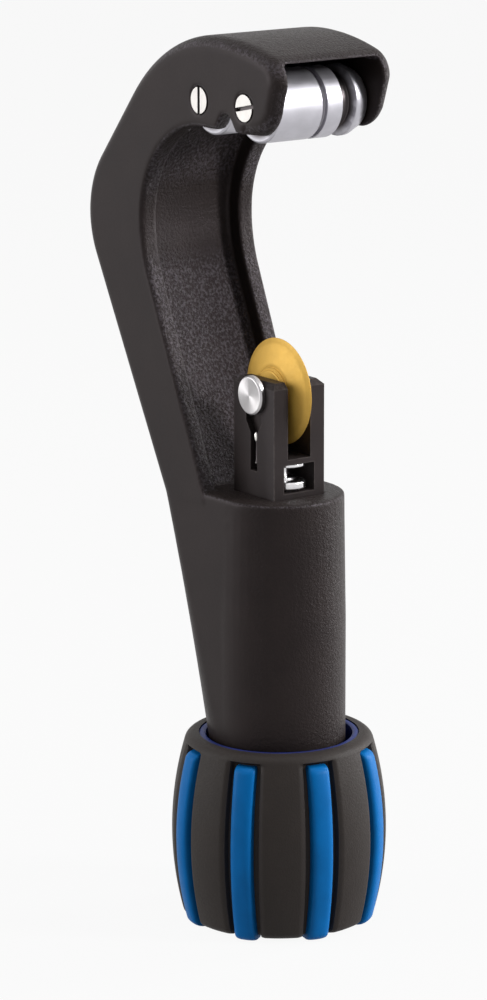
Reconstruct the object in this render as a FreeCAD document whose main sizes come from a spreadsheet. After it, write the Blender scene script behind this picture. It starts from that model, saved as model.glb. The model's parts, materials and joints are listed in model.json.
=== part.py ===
"""Telescoping tube cutter: a parametric FreeCAD document, one Body for each separate piece.

Frame: millimetres, +Z up the barrel's axis, the knob's flat end at Z = 0, +X the open side of the C.
"""
import FreeCAD, Part
import math
import os
import re
import Sketcher

VECTOR = FreeCAD.Vector
ROOT_POINT = (-1, 1)
V_AXIS = "V_Axis"

DIMENSIONS = {
    # frame: the barrel and its rectangular guide
    "barrel_radius": 14.1, "barrel_foot": 12.0, "barrel_top": 92.8, "mouth_round": 0.6,
    "mouth_radius": 13.7, "taper_start": 66.0,
    "blend_start": 34.0, "blend_corner": 3.8, "spine_depth": 24.4,
    "foot_lap": 2.0, "root_sink": 0.05, "rim_flat": 0.2, "overrun": 1.0,
    # frame: the C and its channel
    "frame_width": 30.4, "mouth_width": 28.2, "back_lean": 27.2, "shoulder_lean": 40.4,
    "heel_radius": 20.0,
    "roof_radius": 40.0, "roof_height": 188.7, "roof_centre": -2.0, "roof_thickness": 4.05,
    "brow_radius": 60.0,
    "nose_reach": 19.4, "nose_radius": 6.0, "chin_reach": 17.9, "chin_radius": 6.0,
    "chin_round": 7.2,
    "throat_drop": 41.0, "throat_depth": 28.7, "throat_radius": 22.0, "throat_ease": 30.0,
    "throat_lean": 23.4, "web_depth": 3.8, "flange": 3.1, "channel_flange": 3.4,
    "cavity_back": 15.6, "cavity_drop": 6.0,
    "notch_middle": 1.7, "notch_half": 4.3, "notch_rise": 3.6, "notch_round": 2.2,
    "notch_crown": 1.98,
    "edge_round": 3.0, "rim_round": 1.0,
    # rollers and their pins
    "roller_pitch": 15.5, "roller_middle": 0.5, "roller_rise": 5.5, "roller_radius": 7.4,
    "roller_side_gap": 0.3, "roller_bevel": 0.4,
    "pin_radius": 2.0, "pin_head_radius": 2.75, "pin_head_depth": 1.6, "pin_slot_width": 0.8,
    "pin_slot_depth": 0.9, "pin_blind": 1.5, "groove_width": 1.2, "groove_depth": 0.9,
    "flare_start": 4.5, "flare_end": 8.0, "flare_depth": 2.0,
    "flare_near_slope": 0.5, "flare_far_slope": 0.6, "end_band": 1.0, "end_cone": 1.2,
    # running fits and small gaps
    "running_gap": 0.05, "slide_gap": 0.1, "face_gap": 0.1,
    # carriage
    "carriage_depth": 14.0, "carriage_width": 13.0, "carriage_foot": 38.0, "leg_over_axle": 3.13,
    "carriage_bevel": 1.2, "wheel_slot": 5.8, "wheel_gap": 1.87, "window_foot": 93.8,
    "window_height": 6.0, "window_width": 7.8, "bridge": 1.2, "stem_slot": 6.6,
    "stem_height": 3.2, "wire_slot": 2.4, "wire_slot_rise": 4.2, "wire_slot_depth": 1.5,
    "funnel_width": 5.4, "wire_run": 8.0, "funnel_slope": 2.4, "well_gap": 0.3,
    # wheel, its axle pin and the spring wire
    "wheel_radius": 11.2, "wheel_hub_radius": 5.2, "wheel_hub_half": 2.6, "wheel_web_half": 1.9,
    "wheel_edge_half": 0.05, "wheel_step": 0.5, "axle_radius": 2.25, "button_radius": 4.15,
    "button_proud": 1.3, "button_bevel": 0.35, "wire_radius": 0.6, "wire_gap": 1.2,
    "wire_over": 0.4,
    # feed spindle and threaded sleeve
    "spindle_radius": 3.0, "spindle_foot": 25.0, "spindle_bevel": 0.6,
    "collar_radius": 3.7, "collar_height": 2.4,
    "neck_radius": 2.4, "ring_height": 1.0, "sleeve_radius": 4.6, "sleeve_top": 78.0,
    "sleeve_bore": 3.3, "sleeve_floor": 12.6, "sleeve_foot": 7.2, "thread_length": 12.0,
    "sleeve_flange": 6.3, "sleeve_flange_height": 2.4,
    "hex_across": 8.0, "bush_radius": 7.0, "bush_height": 9.0, "washer_height": 1.0,
    "thrust_radius": 6.4, "lower_washer_radius": 12.0, "lower_washer_height": 0.6,
    # knob
    "knob_foot_radius": 20.6, "knob_top": 40.6,
    "knob_top_radius": 20.0, "knob_sweep": 70.0, "knob_bore": 15.5, "core_radius": 17.0, "core_top": 39.8,
    "core_web_foot": 6.8, "core_web_top": 11.2, "rib_count": 8.0, "rib_width": 4.6,
    "rib_proud": 0.45, "rib_top": 38.2, "rib_groove": 1.5, "rib_groove_depth": 1.7,
    "rib_turn": -12.5, "grip_foot": 0.7, "cap_radius": 15.2, "cap_height": 2.4, "cap_gap": 0.15,
    "cap_ledge": 12.5, "cap_bevel": 0.4, "screw_gap": 0.15,
    "rib_root": 0.5, "rib_foot_bevel": 0.6, "rib_bevel": 0.8, "rib_groove_over": 0.6,
    "grip_foot_bevel": 0.8, "grip_foot_rise": 1.2, "grip_top_bevel": 1.2, "grip_top_drop": 1.5,
    "screw_radius": 2.5, "screw_head_radius": 4.5, "screw_head_height": 2.6,
    "screw_length": 6.0, "screw_socket": 3.0, "screw_socket_depth": 1.5,
    "screw_washer_radius": 6.0, "screw_washer_height": 1.0,
}

# Heights that follow from others, so that what fits together moves together.
DRIVEN = {
    "throat_height": "roof_height - throat_drop",
    "slot_floor": "window_foot + window_height + bridge",
    "sleeve_well_top": "window_foot - stem_height",
    "wheel_height": "slot_floor + wheel_gap + wheel_radius",
    "carriage_top": "wheel_height + leg_over_axle",
    "wire_slot_foot": "window_foot + wire_slot_rise",
    "funnel_foot": "wire_slot_foot + wire_run",
    "wire_foot": "wire_slot_foot + wire_gap",
    "wire_top": "funnel_foot + wire_over",
    "knob_reach": "knob_foot_radius + knob_top^2 / (8 * knob_sweep)",
}

SIZES = {**DIMENSIONS, **DRIVEN}

document = FreeCAD.newDocument("tube_cutter")
sheet = document.addObject("Spreadsheet::Sheet", "dims")
pieces = []


def fill_sheet():
    rows = [(alias, str(size)) for alias, size in DIMENSIONS.items()]
    rows += [(alias, f"={text}") for alias, text in DRIVEN.items()]
    for row, (alias, content) in enumerate(rows, start=1):
        sheet.set(f"A{row}", alias)
        sheet.set(f"B{row}", content)
        sheet.setAlias(f"B{row}", alias)
        document.recompute()


def formula(text):
    """Write a size in words as an expression on the sheet."""
    return re.sub(r"[a-z_]{3,}", lambda word: "dims." + word.group()
                  if word.group() in SIZES else word.group(), text)


def value(text):
    return float(sheet.evalExpression(formula(text)))


# Sizes that several pieces share, each worked out from the sheet.
LEAN = "tan(throat_lean * 1 deg)"
LEAN_COS = "cos(throat_lean * 1 deg)"
LEAN_SIN = "sin(throat_lean * 1 deg)"
BACK = "tan(back_lean * 1 deg)"
SHOULDER = "tan(shoulder_lean * 1 deg)"
JAW = "(throat_height + throat_radius)"
ROLLER_HEIGHT = f"({JAW} + roller_rise)"
ROLLER_PLACES = {"front": "(roller_middle + roller_pitch / 2)",
                 "rear": "(roller_middle - roller_pitch / 2)"}
DRAFT = "((frame_width - mouth_width) / 2 / (roof_height - barrel_top))"
HEAD_HALF = f"(mouth_width / 2 + ({ROLLER_HEIGHT} - barrel_top) * {DRAFT})"
INNER_HALF = f"({HEAD_HALF} - flange)"
PIN_LENGTH = f"(2 * {HEAD_HALF} - pin_blind)"
GUIDE_FOOT = "(barrel_foot + bush_height)"
ROOF_CENTRE = "(roof_height - roof_radius)"
BROW_CENTRE = "(roof_height - brow_radius)"
SPINE_FOOT = "(barrel_top - foot_lap)"
HALF_TURN = 180.0
FULL_TURN = 360.0
HEX_SIDES = 6
ROOT_SECTIONS = 4
TINY = 0.01


# ---------------------------------------------------------------- helpers
def new_body(label):
    body = document.addObject("PartDesign::Body", label)
    body.Label = label
    pieces.append(body)
    return body


def plane_of(body, role):
    return next(item for item in body.Origin.OriginFeatures if item.Role == role)


def new_sketch(body, name, role="XY_Plane", offset=None):
    """A sketch on one of the body's own origin planes; offset moves it along its normal."""
    sketch = body.newObject("Sketcher::SketchObject", name)
    sketch.AttachmentSupport = [(plane_of(body, role), "")]
    sketch.MapMode = "FlatFace"
    if offset is not None:
        sketch.setExpression("AttachmentOffset.Base.z", formula(offset))
    return sketch


def bind(sketch, constraint, text):
    index = sketch.addConstraint(constraint)
    sketch.setExpression(f"Constraints[{index}]", formula(text))


def arc_between(start, end, radius, turn):
    """The short arc from start to end; turn is 1 anticlockwise, -1 clockwise."""
    chord = end - start
    rise = math.sqrt(max(radius ** 2 - (chord.Length / 2) ** 2, 0.0))
    across = VECTOR(-chord.y, chord.x, 0).normalize()
    centre = (start + end) / 2 + across * rise * turn
    first, last = (start, end) if turn > 0 else (end, start)
    angles = [math.atan2(point.y - centre.y, point.x - centre.x) for point in (first, last)]
    if angles[1] <= angles[0]:
        angles[1] += 2 * math.pi
    return Part.ArcOfCircle(Part.Circle(centre, VECTOR(0, 0, 1), radius), *angles)


def outline(sketch, steps):
    """A closed loop: each step is (x, y), or (x, y, radius, turn) for an arc that ends there."""
    points = [VECTOR(value(step[0]), value(step[1]), 0) for step in steps]
    ends = []
    for index, step in enumerate(steps):
        if len(step) == 2:
            edge = Part.LineSegment(points[index - 1], points[index])
        else:
            edge = arc_between(points[index - 1], points[index], value(step[2]), step[3])
        geometry = sketch.addGeometry(edge, False)
        clockwise = len(step) > 2 and step[3] < 0
        ends.append((geometry, 2, 1) if clockwise else (geometry, 1, 2))
    for index, step in enumerate(steps):
        geometry, start, end = ends[index]
        before, _, before_end = ends[index - 1]
        sketch.addConstraint(Sketcher.Constraint("Coincident", before, before_end, geometry, start))
        bind(sketch, Sketcher.Constraint("DistanceX", *ROOT_POINT, geometry, end,
                                         points[index].x), step[0])
        bind(sketch, Sketcher.Constraint("DistanceY", *ROOT_POINT, geometry, end,
                                         points[index].y), step[1])
        if len(step) > 2:
            bind(sketch, Sketcher.Constraint("Radius", geometry, value(step[2])), step[2])


def box_outline(sketch, low_x, high_x, low_y, high_y):
    outline(sketch, [(low_x, low_y), (high_x, low_y), (high_x, high_y), (low_x, high_y)])


def circle(sketch, x, y, radius):
    centre = VECTOR(value(x), value(y), 0)
    geometry = sketch.addGeometry(Part.Circle(centre, VECTOR(0, 0, 1), value(radius)), False)
    bind(sketch, Sketcher.Constraint("DistanceX", *ROOT_POINT, geometry, 3, centre.x), x)
    bind(sketch, Sketcher.Constraint("DistanceY", *ROOT_POINT, geometry, 3, centre.y), y)
    bind(sketch, Sketcher.Constraint("Radius", geometry, value(radius)), radius)


def feature(body, kind, sketch, length, both=False, reverse=False):
    """A Pad or Pocket of a sketch."""
    item = body.newObject("PartDesign::" + kind, f"{kind}_of_{sketch.Name}")
    item.Profile = sketch
    item.Midplane = both
    item.Reversed = reverse
    item.setExpression("Length", formula(length))
    body.Tip = item
    document.recompute()
    return item


def turned(body, kind, sketch):
    """A Revolution or Groove about the sketch's vertical axis."""
    item = body.newObject("PartDesign::" + kind, f"{kind}_of_{sketch.Name}")
    item.Profile = sketch
    item.ReferenceAxis = (sketch, [V_AXIS])
    item.Angle = FULL_TURN
    body.Tip = item
    document.recompute()
    return item


def turned_piece(label, steps):
    """A piece turned about Z from one half section of (radius, height) corners."""
    body = new_body(label)
    section = new_sketch(body, label + "_section", "XZ_Plane")
    outline(section, steps)
    turned(body, "Revolution", section)
    return body


def lay_along_y(body, x, height, y="0"):
    """Turn a piece made along Z so that it points to +Y, and set it at (x, y, height)."""
    body.Placement = FreeCAD.Placement(VECTOR(), FreeCAD.Rotation(VECTOR(1, 0, 0), -HALF_TURN / 2))
    body.setExpression("Placement.Base.x", formula(x))
    body.setExpression("Placement.Base.y", formula(y))
    body.setExpression("Placement.Base.z", formula(height))


def round_edges(body, name, chosen, radius):
    """Fillet the edges of the body's tip that chosen accepts."""
    base = body.Tip
    names = [f"Edge{index}" for index, edge in enumerate(base.Shape.Edges, start=1) if chosen(edge)]
    item = body.newObject("PartDesign::Fillet", name)
    item.Base = (base, names)
    item.setExpression("Radius", formula(radius))
    body.Tip = item
    document.recompute()
    return item


def middle_of(edge):
    return edge.valueAt((edge.FirstParameter + edge.LastParameter) / 2)


# ---------------------------------------------------------------- frame casting
def frame_outline():
    """The C seen from its side, clockwise from the spine's back at the mouth."""
    roof_x = "(roof_centre - roof_radius * cos(shoulder_lean * 1 deg))"
    roof_z = f"({ROOF_CENTRE} + roof_radius * sin(shoulder_lean * 1 deg))"
    heel_z = f"((barrel_top * {BACK} + {roof_z} * {SHOULDER} - spine_depth - {roof_x})" \
             f" / ({BACK} + {SHOULDER}))"
    heel_x = f"(-spine_depth - ({heel_z} - barrel_top) * {BACK})"
    reach = "(heel_radius * tan((back_lean + shoulder_lean) * 1 deg / 2))"
    nose_x = "(nose_reach - nose_radius)"
    nose_run = f"({nose_x} - roof_centre)"
    nose_up = f"sqrt((brow_radius - nose_radius)^2 - {nose_run}^2)"
    stretch = "brow_radius / (brow_radius - nose_radius)"
    low_x = f"(throat_ease - throat_depth - throat_ease * {LEAN_COS})"
    low_z = f"(throat_height - throat_ease * {LEAN_SIN})"
    return [
        (f"-spine_depth + (barrel_top - {SPINE_FOOT}) * {BACK}", SPINE_FOOT),
        (f"{heel_x} + {reach} * sin(back_lean * 1 deg)",
         f"{heel_z} - {reach} * cos(back_lean * 1 deg)"),
        (f"{heel_x} + {reach} * sin(shoulder_lean * 1 deg)",
         f"{heel_z} + {reach} * cos(shoulder_lean * 1 deg)", "heel_radius", -1),
        (roof_x, roof_z),
        ("roof_centre", "roof_height", "roof_radius", -1),
        (f"roof_centre + {nose_run} * {stretch}", f"{BROW_CENTRE} + {nose_up} * {stretch}",
         "brow_radius", -1),
        ("nose_reach", f"{BROW_CENTRE} + {nose_up}", "nose_radius", -1),
        ("chin_reach", f"{JAW} + chin_radius"),
        ("chin_reach - chin_radius", JAW, "chin_round", -1),
        ("throat_radius - throat_depth", JAW),
        ("-throat_depth", "throat_height", "throat_radius", 1),
        (low_x, low_z, "throat_ease", 1),
        (f"{low_x} + ({low_z} - {SPINE_FOOT}) * {LEAN}", SPINE_FOOT),
    ]


def channel_outline():
    """The space between the flanges, in front of the spine's web."""
    ease = "(throat_ease + web_depth)"
    curve = "(throat_radius + web_depth)"
    low_x = f"(throat_ease - throat_depth - {ease} * {LEAN_COS})"
    low_z = f"(throat_height - {ease} * {LEAN_SIN})"
    back_run = "(throat_radius - throat_depth + cavity_back)"
    return [
        (f"{low_x} + ({low_z} - barrel_top) * {LEAN}", "barrel_top"),
        (low_x, low_z),
        ("-throat_depth - web_depth", "throat_height", ease, -1),
        ("-cavity_back", f"throat_height + sqrt({curve}^2 - {back_run}^2)", curve, -1),
        ("nose_reach", JAW),
        ("nose_reach", "barrel_top"),
    ]


def cavity_outline():
    """The space between the cheeks for the rollers, under a flat ceiling and open to the front."""
    front = "(nose_reach + overrun)"
    floor = f"({JAW} - cavity_drop)"
    ceiling = "(roof_height - roof_thickness)"
    return [("-cavity_back", floor), ("-cavity_back", ceiling), (front, ceiling), (front, floor)]


def add_spine_root(body):
    """The spine's root: level sections whose back corners sharpen as they rise to the mouth."""
    sections = []
    for step in range(ROOT_SECTIONS):
        share = step / (ROOT_SECTIONS - 1)
        height = f"(blend_start + (barrel_top - blend_start) * {share})"
        narrowing = f"max(0; {height} - taper_start) / (barrel_top - taper_start)"
        front = f"(barrel_radius - (barrel_radius - mouth_radius) * {narrowing} - root_sink)"
        back = f"(barrel_radius + (spine_depth - barrel_radius) * {share ** 2})"
        corner = f"(blend_corner + (barrel_radius - rim_flat - blend_corner) * {(1 - share) ** 2})"
        sketch = new_sketch(body, f"root_section_{step}", "XY_Plane", height)
        outline(sketch, [
            ("0", front),
            (f"{corner} - {back}", "barrel_radius"),
            (f"-{back}", f"barrel_radius - {corner}", corner, 1),
            (f"-{back}", f"{corner} - barrel_radius"),
            (f"{corner} - {back}", "-barrel_radius", corner, 1),
            ("0", f"-{front}"),
        ])
        sections.append(sketch)
    document.recompute()
    loft = body.newObject("PartDesign::AdditiveLoft", "spine_root")
    loft.Profile = sections[0]
    loft.Sections = sections[1:]
    loft.Ruled = False
    body.Tip = loft
    document.recompute()


def make_frame():
    body = new_body("frame_casting")
    side = new_sketch(body, "frame_side", "XZ_Plane")
    outline(side, frame_outline())
    feature(body, "Pad", side, "frame_width", both=True)
    lean_sides(body)
    round_frame(body)
    cut_head(body)
    add_spine_root(body)
    barrel = new_sketch(body, "barrel_section", "XZ_Plane")
    outline(barrel, [("0", "barrel_foot"), ("barrel_radius", "barrel_foot"),
                     ("barrel_radius", "taper_start"), ("mouth_radius", "barrel_top"),
                     ("0", "barrel_top")])
    turned(body, "Revolution", barrel)
    round_mouth(body)
    channel = new_sketch(body, "channel", "XZ_Plane")
    outline(channel, channel_outline())
    feature(body, "Pocket", channel, "mouth_width - 2 * channel_flange", both=True)
    cut_guide(body)
    return body


def cut_head(body):
    """The space for the rollers, the notch under it and the holes for their pins."""
    cavity = new_sketch(body, "cavity", "XZ_Plane")
    outline(cavity, cavity_outline())
    feature(body, "Pocket", cavity, f"2 * {INNER_HALF}", both=True)
    cut_notch(body)
    cut_pin_holes(body)


def lean_sides(body):
    """Cut each side face back, so that the C narrows evenly from its roof to the mouth."""
    wide = "(frame_width / 2)"
    far = f"(roof_height + overrun)"
    top = f"({wide} + overrun * {DRAFT})"
    low = f"({SPINE_FOOT} - overrun)"
    foot = f"(mouth_width / 2 + ({low} - barrel_top) * {DRAFT})"
    for name, side in (("near", "-1"), ("far", "1")):
        sketch = new_sketch(body, f"{name}_lean", "YZ_Plane")
        outline(sketch, [
            (f"{side} * {foot}", low), (f"{side} * {top}", far),
            (f"{side} * ({wide} + overrun)", far), (f"{side} * ({wide} + overrun)", low),
        ])
        feature(body, "Pocket", sketch, "4 * throat_depth", both=True)


def round_frame(body):
    """Round the C's outer edges; the edges round its throat get a smaller round."""
    draft = value(DRAFT)
    mouth_half = value("mouth_width") / 2
    mouth = value("barrel_top")
    foot = value(SPINE_FOOT)
    jaw = value(JAW)
    deepest = value("throat_depth")
    thickness = value("spine_depth") / 2

    def on_side(edge):
        point = middle_of(edge)
        half = mouth_half + (point.z - mouth) * draft
        return abs(abs(point.y) - half) < TINY and point.z > foot + TINY

    def inner(edge):
        point = middle_of(edge)
        behind = -thickness - (point.z - foot) * value(LEAN)
        return on_side(edge) and point.z < jaw + TINY and point.x > max(behind, -deepest - TINY)

    def outer(edge):
        return on_side(edge) and not inner(edge)

    round_edges(body, "outer_round", outer, "edge_round")
    round_edges(body, "inner_round", inner, "rim_round")


def round_mouth(body):
    """Round the barrel's rim, from the foot of one flange round the front to the other."""
    top = value("barrel_top")
    rim = value("mouth_radius") - TINY

    def on_rim(edge):
        point = middle_of(edge)
        flat = max(abs(vertex.Z - top) for vertex in edge.Vertexes) < TINY
        outside = abs(point.y) > rim or math.hypot(point.x, point.y) > rim
        return flat and abs(point.z - top) < TINY and outside and point.x > -value("mouth_radius")

    round_edges(body, "mouth_lip", on_rim, "mouth_round")


def cut_notch(body):
    """A notch in both cheeks' lower edge, between the roller pins."""
    sketch = new_sketch(body, "notch", "XZ_Plane")
    crown = f"({JAW} + notch_rise - notch_round + sqrt(notch_round^2 - notch_crown^2))"
    outline(sketch, [
        ("notch_middle - notch_half", f"{JAW} - overrun"),
        ("notch_middle - notch_crown", crown),
        ("notch_middle + notch_crown", crown, "notch_round", -1),
        ("notch_middle + notch_half", f"{JAW} - overrun"),
    ])
    feature(body, "Pocket", sketch, "frame_width + 2 * overrun", both=True)


def cut_guide(body):
    """The rectangular guide for the carriage, and the bush's seat under it."""
    guide = new_sketch(body, "guide", "XY_Plane", GUIDE_FOOT)
    half_x = "carriage_depth / 2 + slide_gap"
    half_y = "carriage_width / 2 + slide_gap"
    box_outline(guide, f"-({half_x})", half_x, f"-({half_y})", half_y)
    feature(body, "Pocket", guide, f"barrel_top - {GUIDE_FOOT}", reverse=True)
    seat = new_sketch(body, "bush_seat", "XY_Plane", "barrel_foot")
    circle(seat, "0", "0", "bush_radius")
    feature(body, "Pocket", seat, f"bush_height + overrun", reverse=True)


def cut_pin_holes(body):
    """Each roller pin's hole, blind in the far cheek, with a seat for its head."""
    for name, place in ROLLER_PLACES.items():
        hole = new_sketch(body, f"{name}_hole", "XZ_Plane", f"{HEAD_HALF} + overrun")
        circle(hole, place, ROLLER_HEIGHT, "pin_radius + running_gap / 2")
        feature(body, "Pocket", hole, f"{PIN_LENGTH} + overrun")
        seat = new_sketch(body, f"{name}_head_seat", "XZ_Plane", f"{HEAD_HALF} + overrun")
        circle(seat, place, ROLLER_HEIGHT, "pin_head_radius + running_gap")
        feature(body, "Pocket", seat, f"pin_head_depth + overrun")


# ---------------------------------------------------------------- rollers
def make_roller_pin(name, place):
    body = turned_piece(f"roller_pin_{name}", [
        ("0", "0"), ("pin_head_radius", "0"), ("pin_head_radius", "pin_head_depth"),
        ("pin_radius", "pin_head_depth"), ("pin_radius", PIN_LENGTH), ("0", PIN_LENGTH),
    ])
    slot = new_sketch(body, f"{name}_pin_slot", "XY_Plane")
    box_outline(slot, "-pin_slot_width / 2", "pin_slot_width / 2",
                "-pin_head_radius - overrun", "pin_head_radius + overrun")
    feature(body, "Pocket", slot, "pin_slot_depth", reverse=True)
    lay_along_y(body, place, ROLLER_HEIGHT, f"-{HEAD_HALF}")


def make_roller(name, place):
    """A guide roller: a centre groove for the wheel and one deep groove for cutting off flares."""
    half = f"({INNER_HALF} - roller_side_gap)"
    deep = "roller_radius - flare_depth"
    body = turned_piece(f"roller_{name}", [
        ("pin_radius + running_gap", f"-{half}"), ("roller_radius - roller_bevel", f"-{half}"),
        ("roller_radius", f"roller_bevel - {half}"), ("roller_radius", "-groove_width / 2"),
        ("roller_radius - groove_depth", "-groove_width / 2"),
        ("roller_radius - groove_depth", "groove_width / 2"),
        ("roller_radius", "groove_width / 2"), ("roller_radius", "flare_start"),
        (deep, "flare_start + flare_near_slope"),
        (deep, "flare_end - flare_far_slope"), ("roller_radius", "flare_end"),
        ("roller_radius", "flare_end + end_band"), ("roller_radius - end_cone", half),
        ("pin_radius + running_gap", half),
    ])
    lay_along_y(body, place, ROLLER_HEIGHT)


# ---------------------------------------------------------------- carriage
def make_carriage():
    body = new_body("carriage_block")
    foot = new_sketch(body, "carriage_section", "XY_Plane", "carriage_foot")
    box_outline(foot, "-carriage_depth / 2", "carriage_depth / 2",
                "-carriage_width / 2", "carriage_width / 2")
    feature(body, "Pad", foot, "carriage_top - carriage_foot")
    block = body.Tip
    bevel = body.newObject("PartDesign::Chamfer", "top_bevel")
    bevel.Base = (block, top_edges(block.Shape, value("carriage_top")))
    bevel.setExpression("Size", formula("carriage_bevel"))
    body.Tip = bevel
    document.recompute()
    slot = new_sketch(body, "wheel_slot_section", "YZ_Plane")
    box_outline(slot, "-wheel_slot / 2", "wheel_slot / 2", "slot_floor",
                "carriage_top + overrun")
    feature(body, "Pocket", slot, "carriage_depth + 2 * overrun", both=True)
    window = new_sketch(body, "window", "YZ_Plane")
    box_outline(window, "-window_width / 2", "window_width / 2", "window_foot",
                "slot_floor - bridge")
    feature(body, "Pocket", window, "carriage_depth + 2 * overrun", both=True)
    stem = new_sketch(body, "stem_slot_section", "YZ_Plane")
    box_outline(stem, "-stem_slot / 2", "stem_slot / 2",
                "sleeve_well_top - overrun", "window_foot + overrun")
    feature(body, "Pocket", stem, "carriage_depth / 2 + overrun")
    back = new_sketch(body, "stem_hole", "XY_Plane", "sleeve_well_top - overrun")
    circle(back, "0", "0", "stem_slot / 2")
    feature(body, "Pocket", back, "window_foot - sleeve_well_top + 2 * overrun", reverse=True)
    well = new_sketch(body, "sleeve_well", "XY_Plane", "carriage_foot")
    circle(well, "0", "0", "sleeve_radius + well_gap")
    feature(body, "Pocket", well, "sleeve_well_top - carriage_foot", reverse=True)
    axle = new_sketch(body, "axle_hole", "XZ_Plane")
    circle(axle, "0", "wheel_height", "axle_radius + running_gap")
    feature(body, "Pocket", axle, "carriage_width + 2 * overrun", both=True)
    wire = new_sketch(body, "wire_slot_outline", "XZ_Plane", "carriage_width / 2")
    outline(wire, [
        ("-wire_slot / 2", "wire_slot_foot"), ("wire_slot / 2", "wire_slot_foot"),
        ("wire_slot / 2", "funnel_foot"), ("funnel_width / 2", "funnel_foot + funnel_slope"),
        ("funnel_width / 2", "wheel_height"), ("-funnel_width / 2", "wheel_height"),
        ("-funnel_width / 2", "funnel_foot + funnel_slope"), ("-wire_slot / 2", "funnel_foot"),
    ])
    feature(body, "Pocket", wire, "wire_slot_depth")
    return body


def top_edges(shape, height):
    return [f"Edge{index}" for index, edge in enumerate(shape.Edges, start=1)
            if abs(edge.BoundBox.ZMin - height) < TINY]


def make_wheel():
    """The cutting wheel: a thin lens with a stepped hub, turned about its axle."""
    body = turned_piece("cutter_wheel", [
        ("axle_radius + running_gap", "-wheel_hub_half"), ("wheel_hub_radius", "-wheel_hub_half"),
        ("wheel_hub_radius", "-wheel_web_half"),
        ("wheel_hub_radius + wheel_step", "-wheel_web_half"),
        ("wheel_radius", "-wheel_edge_half"), ("wheel_radius", "wheel_edge_half"),
        ("wheel_hub_radius + wheel_step", "wheel_web_half"),
        ("wheel_hub_radius", "wheel_web_half"), ("wheel_hub_radius", "wheel_hub_half"),
        ("axle_radius + running_gap", "wheel_hub_half"),
    ])
    lay_along_y(body, "0", "wheel_height")


def make_axle_pin():
    body = turned_piece("wheel_axle_pin", [
        ("0", "0"), ("button_radius - button_bevel", "0"), ("button_radius", "button_bevel"),
        ("button_radius", "button_proud"), ("axle_radius", "button_proud"),
        ("axle_radius", "button_proud + carriage_width"), ("0", "button_proud + carriage_width"),
    ])
    lay_along_y(body, "0", "wheel_height", "-carriage_width / 2 - button_proud")


def make_spring_wire():
    """The wire that snaps on the axle pin: it stands in the slot of the near leg."""
    body = turned_piece("detent_spring_wire", [
        ("0", "wire_foot"), ("wire_radius", "wire_foot"), ("wire_radius", "wire_top"),
        ("0", "wire_top"),
    ])
    body.setExpression("Placement.Base.y",
                       formula("-carriage_width / 2 + wire_slot_depth - wire_radius - face_gap"))


def make_spindle():
    """The feed spindle: its collared head sits in the carriage's window."""
    top = "(slot_floor - bridge - ring_height)"
    turned_piece("feed_spindle", [
        ("0", "spindle_foot"), ("spindle_radius - spindle_bevel", "spindle_foot"),
        ("spindle_radius", "spindle_foot + spindle_bevel"), ("spindle_radius", "window_foot"),
        ("collar_radius", "window_foot"), ("collar_radius", "window_foot + collar_height"),
        ("neck_radius", "window_foot + collar_height"), ("neck_radius", top), ("0", top),
    ])
    turned_piece("spindle_thrust_ring", [
        ("0", top), ("collar_radius", top), ("collar_radius", "slot_floor - bridge"),
        ("0", "slot_floor - bridge"),
    ])


# ---------------------------------------------------------------- drive inside the barrel
def make_drive():
    """Bush, thrust washers and the threaded sleeve that the knob turns."""
    sleeve_hole = "sleeve_radius + running_gap"
    turned_piece("bearing_bush", [
        (sleeve_hole, "barrel_foot"), ("bush_radius", "barrel_foot"),
        ("bush_radius", GUIDE_FOOT), (sleeve_hole, GUIDE_FOOT),
    ])
    flange_foot = f"({GUIDE_FOOT} + washer_height + face_gap)"
    turned_piece("thrust_washer_upper", [
        (sleeve_hole, GUIDE_FOOT), ("thrust_radius", GUIDE_FOOT),
        ("thrust_radius", f"{GUIDE_FOOT} + washer_height"),
        (sleeve_hole, f"{GUIDE_FOOT} + washer_height"),
    ])
    turned_piece("thrust_washer_lower", [
        (sleeve_hole, "barrel_foot - lower_washer_height"),
        ("lower_washer_radius", "barrel_foot - lower_washer_height"),
        ("lower_washer_radius", "barrel_foot"), (sleeve_hole, "barrel_foot"),
    ])
    thread = "(spindle_radius + running_gap)"
    flange_top = f"{flange_foot} + sleeve_flange_height"
    sleeve = turned_piece("threaded_sleeve", [
        ("0", "core_web_top"), ("sleeve_radius", "core_web_top"), ("sleeve_radius", flange_foot),
        ("sleeve_flange", flange_foot), ("sleeve_flange", flange_top),
        ("sleeve_radius", flange_top), ("sleeve_radius", "sleeve_top"), (thread, "sleeve_top"),
        (thread, "sleeve_top - thread_length"), ("sleeve_bore", "sleeve_top - thread_length"),
        ("sleeve_bore", "sleeve_floor"), ("0", "sleeve_floor"),
    ])
    turn_with_ribs(sleeve)
    hexagon = new_sketch(sleeve, "sleeve_hexagon", "XY_Plane", "core_web_top")
    hexagon_outline(hexagon, "hex_across")
    feature(sleeve, "Pad", hexagon, "core_web_top - sleeve_foot", reverse=True)
    hole = new_sketch(sleeve, "sleeve_screw_hole", "XY_Plane", "sleeve_foot")
    circle(hole, "0", "0", "screw_radius + running_gap")
    feature(sleeve, "Pocket", hole, "sleeve_floor - sleeve_foot + overrun", reverse=True)


def hexagon_outline(sketch, across):
    """A hexagon about the axis with its corners on the X axis."""
    corner = f"({across}) / sqrt(3)"
    turns = [FULL_TURN / HEX_SIDES * index for index in range(HEX_SIDES)]
    outline(sketch, [(f"{corner} * cos({turn} * 1 deg)", f"{corner} * sin({turn} * 1 deg)")
                     for turn in turns])


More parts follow.
